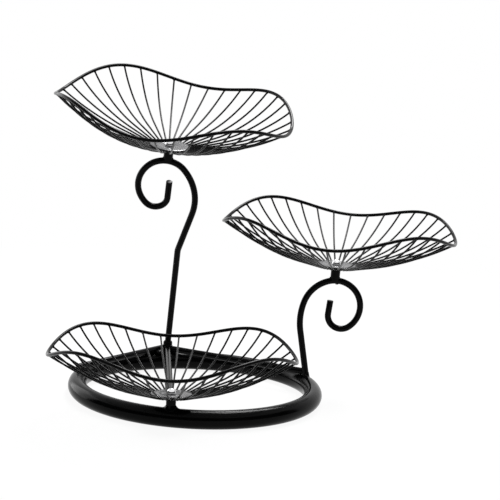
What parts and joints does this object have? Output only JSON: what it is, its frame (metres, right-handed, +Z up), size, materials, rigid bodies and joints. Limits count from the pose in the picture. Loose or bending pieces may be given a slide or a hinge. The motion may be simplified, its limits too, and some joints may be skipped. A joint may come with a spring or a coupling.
{
  "type": "tiered wire basket stand",
  "caption": "Stand of black wire baskets: shallow wavy-rimmed bowls of radial wires on scrolled rods over a round tube ring, each turning on a capped screw.",
  "frame": {"origin": "centre of the base ring, on the floor that it stands on", "axes": "+Z up, -Y the front that the picture looks at from slightly above, +X to the right in the picture"},
  "size_m": [0.4492, 0.4351, 0.3511],
  "materials": {
    "black_coat": "satin",
    "disc_grey": "satin",
    "chrome": "polished"
  },
  "bodies": {
    "stand": {"base_ring": "black_coat", "back_post": "black_coat", "tall_stem": "black_coat", "short_stem": "black_coat", "right_rod": "black_coat", "front_rod": "black_coat", "left_rod": "black_coat", "bottom_stub": "black_coat", "right_stub": "black_coat", "top_stub": "black_coat", "cap_screws": "chrome", "weld_beads": "black_coat"},
    "bottom_basket": {"bottom_disc": "disc_grey", "bottom_spokes": "black_coat", "bottom_rim": "black_coat"},
    "right_basket": {"right_disc": "disc_grey", "right_spokes": "black_coat", "right_rim": "black_coat"},
    "top_basket": {"top_disc": "disc_grey", "top_spokes": "black_coat", "top_rim": "black_coat"}
  },
  "joints": [
    {"name": "bottom_basket_turn", "type": "hinge", "parent": "stand", "child": "bottom_basket", "pos_m": [-0.02117, -0.12653, 0.03431], "axis": [-0.0136, 0.0534, 0.9985], "continuous": true},
    {"name": "right_basket_turn", "type": "hinge", "parent": "stand", "child": "right_basket", "pos_m": [0.14817, 0.04895, 0.14632], "axis": [0.0321, 0.003, 0.9995], "continuous": true},
    {"name": "top_basket_turn", "type": "hinge", "parent": "stand", "child": "top_basket", "pos_m": [-0.04168, 0.02538, 0.27216], "axis": [0.0815, -0.142, 0.9865], "continuous": true}
  ]
}
